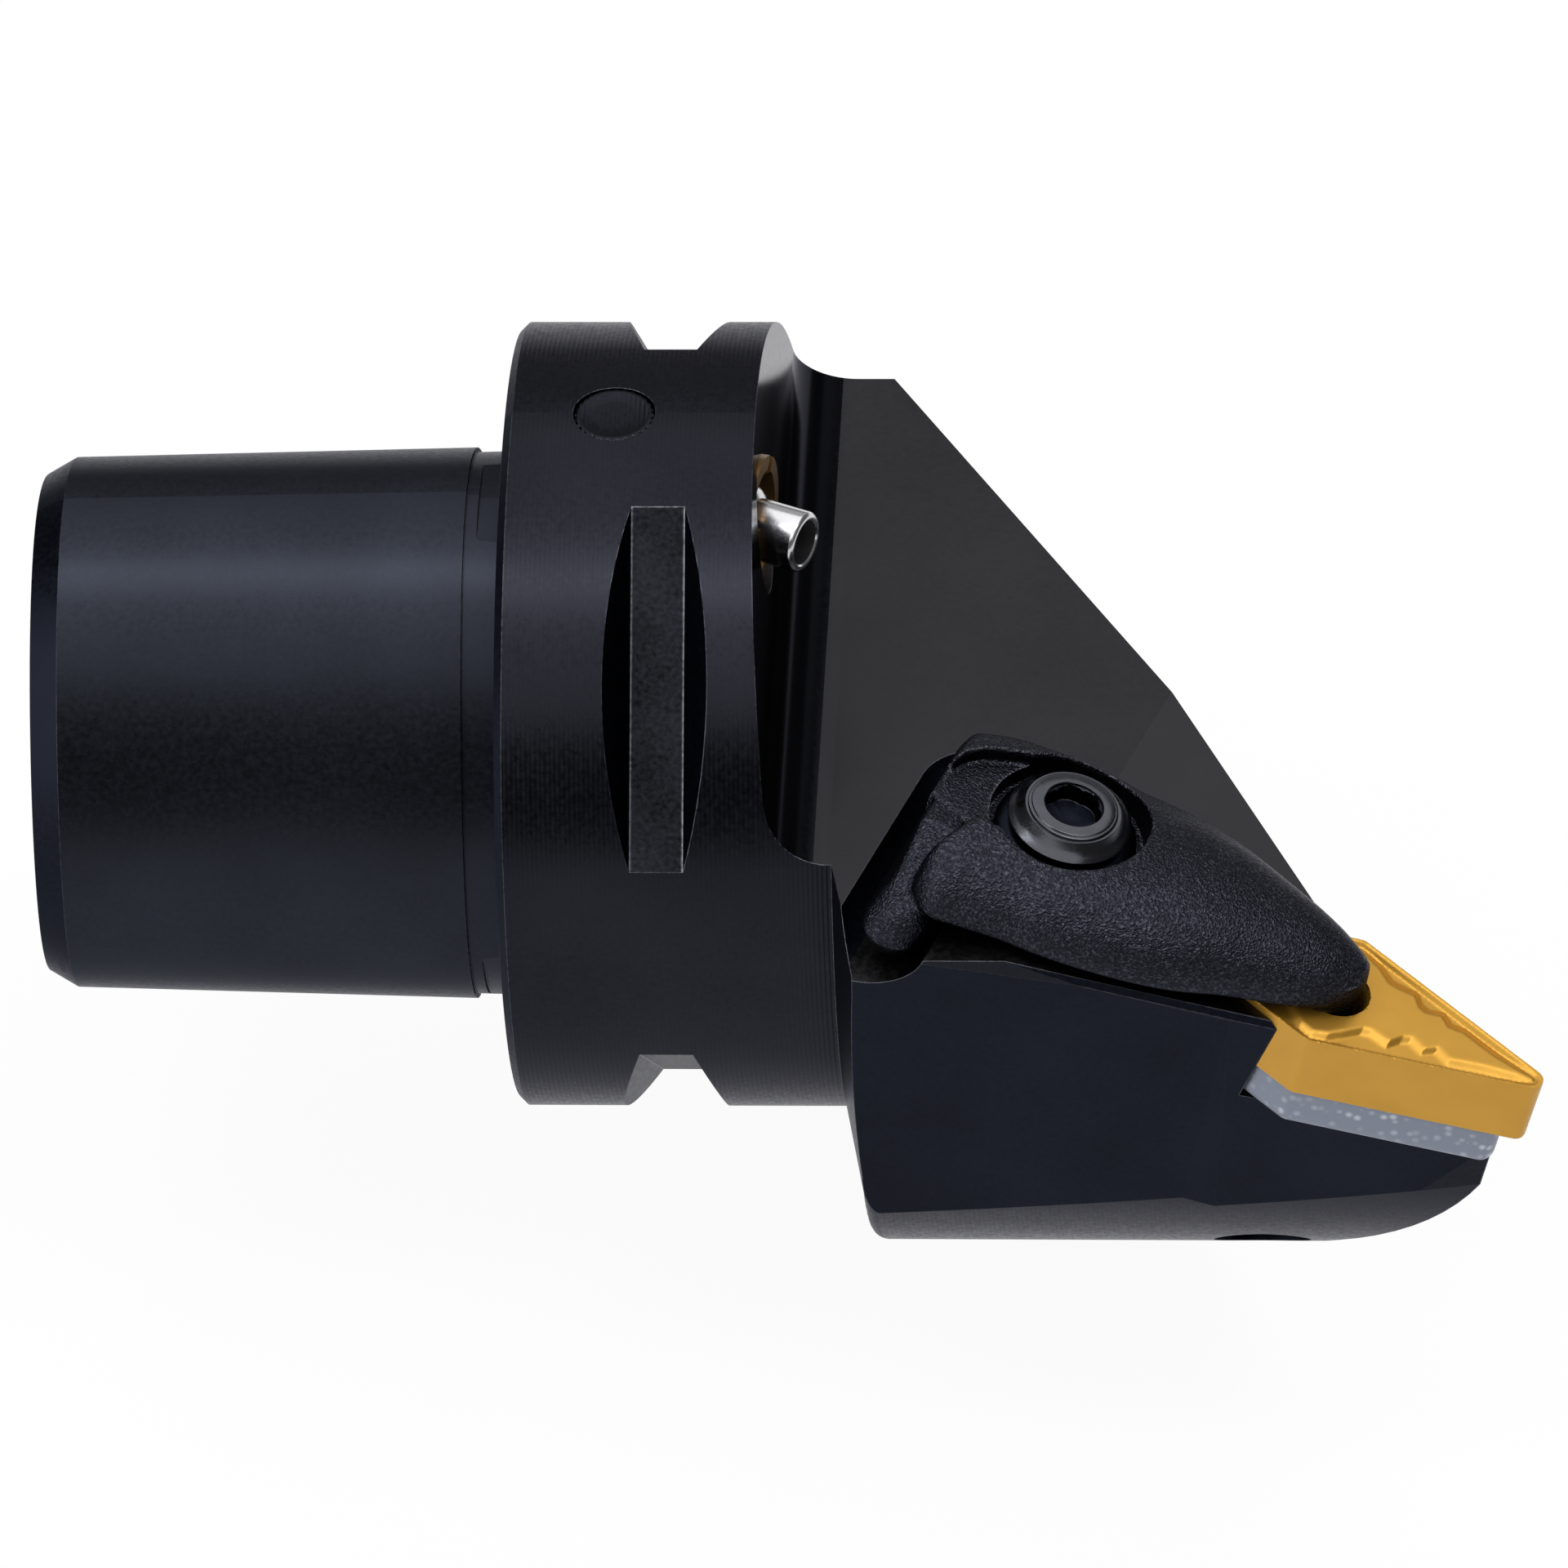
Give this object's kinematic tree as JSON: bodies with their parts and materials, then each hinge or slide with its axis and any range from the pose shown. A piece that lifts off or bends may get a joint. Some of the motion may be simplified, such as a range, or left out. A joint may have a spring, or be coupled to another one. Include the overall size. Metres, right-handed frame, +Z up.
{
  "type": "turning tool holder",
  "caption": "External turning tool holder with a polygon shank, round gripper flange, angled cutting head, clamped rhombic insert on a shim and a swivelling coolant nozzle.",
  "frame": {"origin": "centre of the flange's contact face, on the tool axis", "axes": "+X along the tool axis from the coupling towards the cutting tip, +Z up on the rake side of the insert, the tip lies on the -Y side"},
  "size_m": [0.095, 0.06, 0.0561],
  "materials": {
    "black_oxide_steel": "black oxide on ground and milled steel",
    "blasted_steel": "bead-blasted and black oxide",
    "screw_steel": "turned and blued",
    "spring_steel": "drawn wire, oiled",
    "coated_carbide": "gold vapour-deposited coating on pressed and ground carbide",
    "bare_carbide": "ground",
    "stainless_steel": "turned bright",
    "brass": "turned, dulled by coolant",
    "seal_rubber": "moulded"
  },
  "bodies": {
    "holder": {"holder_body": "black_oxide_steel", "insert": "coated_carbide", "shim": "bare_carbide", "shim_screw": "screw_steel", "clamp_spring": "spring_steel", "nozzle_seal": "seal_rubber", "channel_plug": "black_oxide_steel"},
    "clamp_unit": {"clamp": "blasted_steel", "clamp_washer": "screw_steel"},
    "screw": {"clamp_screw": "screw_steel"},
    "collar": {"nozzle_collar": "brass"},
    "nozzle_ball": {"nozzle": "stainless_steel"}
  },
  "joints": [
    {"name": "clamp_lift", "type": "slide", "parent": "holder", "child": "clamp_unit", "axis": [0.2328, -0.0679, 0.9701], "range_m": [0, 0.0028], "deforming": ["clamp_spring"]},
    {"name": "screw_turn", "type": "hinge", "parent": "clamp_unit", "child": "screw", "pos_m": [0.03482, -0.02321, 0.00807], "axis": [0.2328, -0.0679, 0.9701], "range_deg": [0, 1260]},
    {"name": "nozzle_turn", "type": "hinge", "parent": "holder", "child": "collar", "pos_m": [0.0135, -0.0024, 0.0184], "axis": [0.9816, -0.1908, 0], "range_deg": [-180, 180]},
    {"name": "nozzle_tilt", "type": "hinge", "parent": "collar", "child": "nozzle_ball", "pos_m": [0.0135, -0.0024, 0.0184], "axis": [0, 0, 1], "range_deg": [0, 29.4]}
  ],
  "couplings": [
    {"joint": "screw_turn", "follows": "clamp_lift", "rad_per_m": 7853.9}
  ]
}
